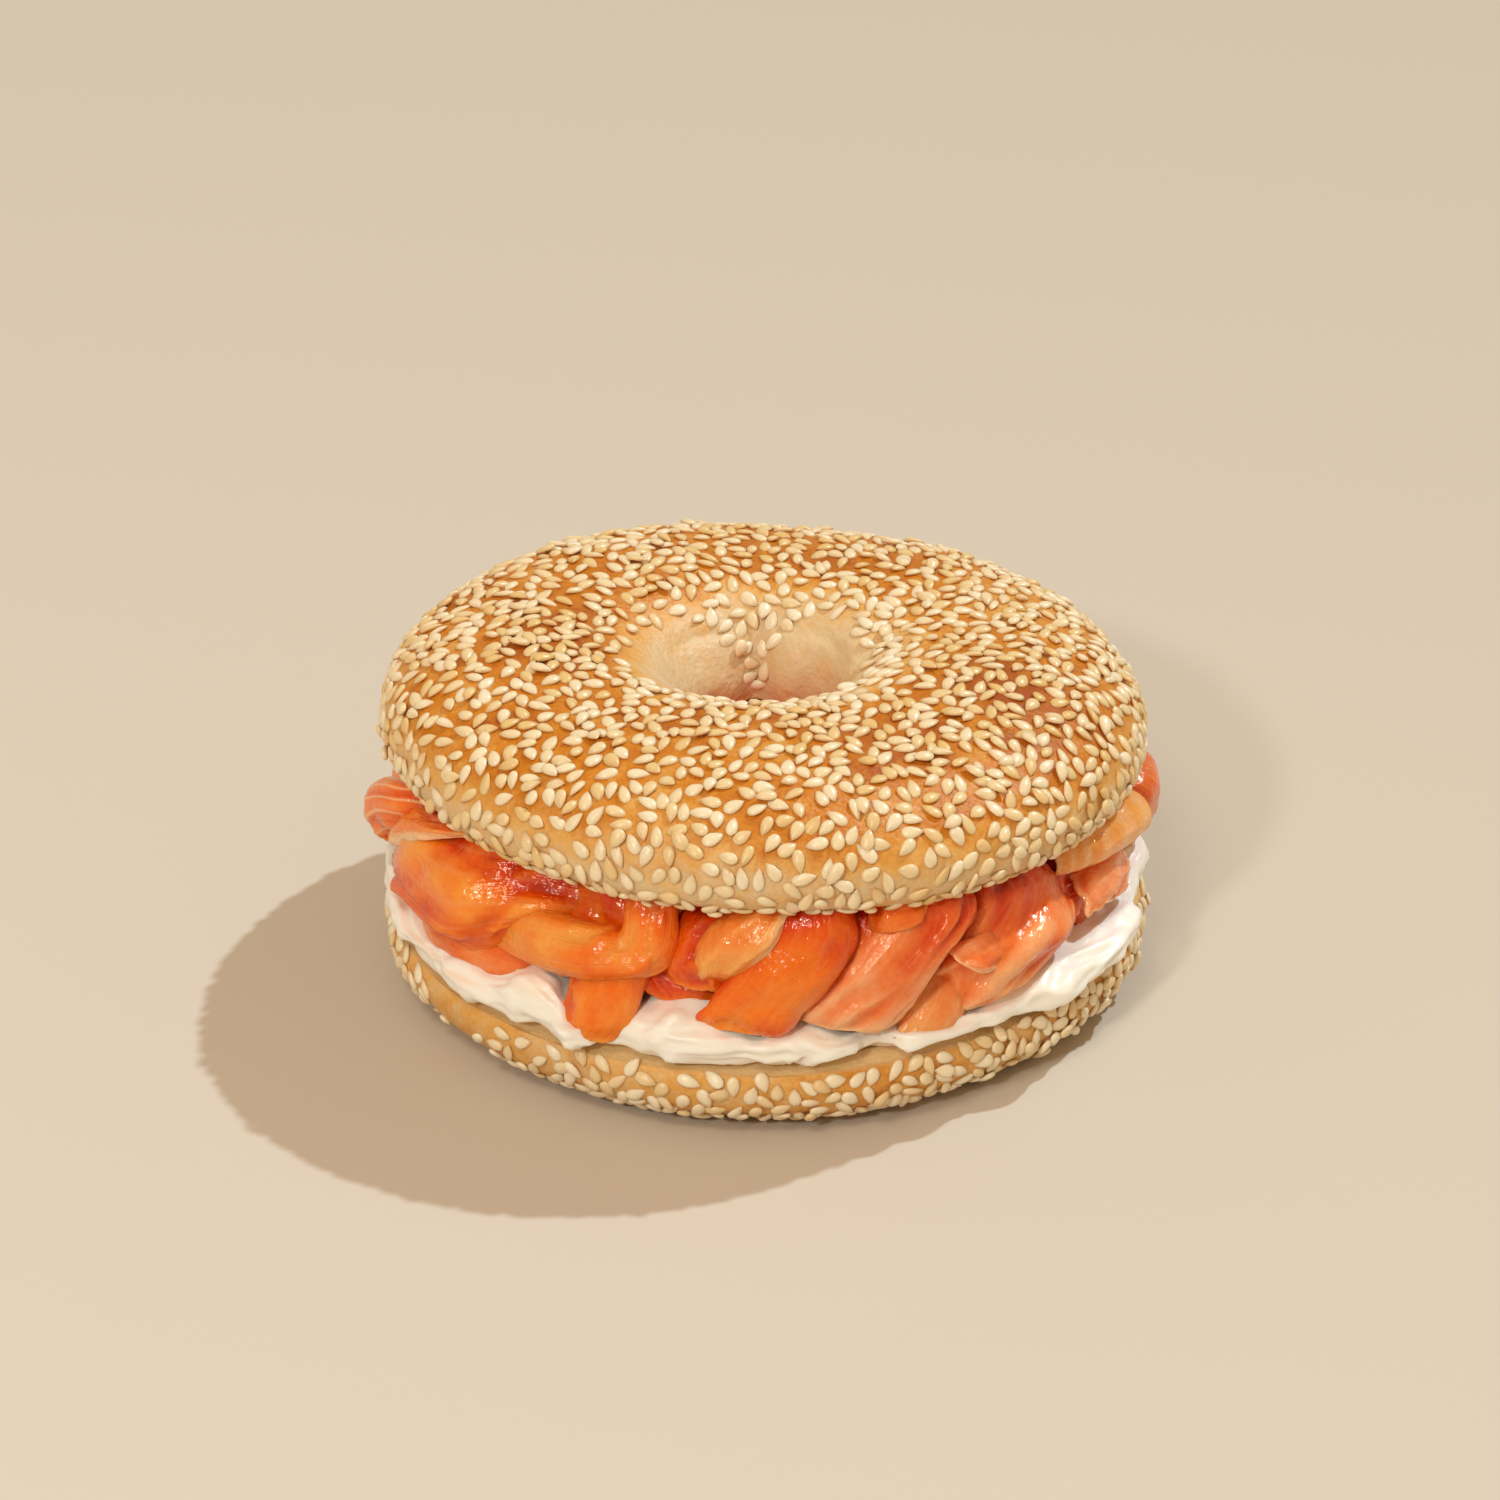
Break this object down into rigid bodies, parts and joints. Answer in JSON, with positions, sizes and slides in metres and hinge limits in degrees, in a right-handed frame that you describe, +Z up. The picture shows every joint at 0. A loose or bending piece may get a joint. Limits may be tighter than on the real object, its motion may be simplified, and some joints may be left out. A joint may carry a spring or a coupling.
{
  "type": "bagel",
  "caption": "Sesame bagel cut in two and filled with a thick layer of cream cheese and folded slices of smoked salmon that show all round its side.",
  "frame": {"origin": "middle of the footprint, on the surface that the bagel rests on", "axes": "+Z up along the bagel's hole, -Y towards the front, +X to the right"},
  "size_m": [0.117, 0.1151, 0.0527],
  "materials": {
    "bread": "baked golden crust with pale sesame seeds, satin",
    "cream_cheese": "soft white spread, moist sheen",
    "salmon": "cured raw fish, wet and slightly see-through"
  },
  "bodies": {
    "root": {"bagel_base": "bread", "bagel_crown": "bread", "cream_cheese": "cream_cheese", "salmon_right_curl": "salmon", "salmon_heap": "salmon", "salmon_left_tail": "salmon", "salmon_left_shoulder": "salmon", "salmon_left_belly": "salmon", "salmon_left_under": "salmon", "salmon_pouch": "salmon", "salmon_torn_edge": "salmon", "salmon_torn_scrap": "salmon", "salmon_middle": "salmon", "salmon_middle_right": "salmon", "salmon_right": "salmon", "salmon_right_low": "salmon", "salmon_right_scrap": "salmon", "salmon_back_right": "salmon", "salmon_back_pleat": "salmon", "salmon_back_belly": "salmon", "salmon_back_fold": "salmon", "salmon_back_drape": "salmon", "salmon_back_left": "salmon", "salmon_left_back": "salmon"}
  },
  "joints": []
}
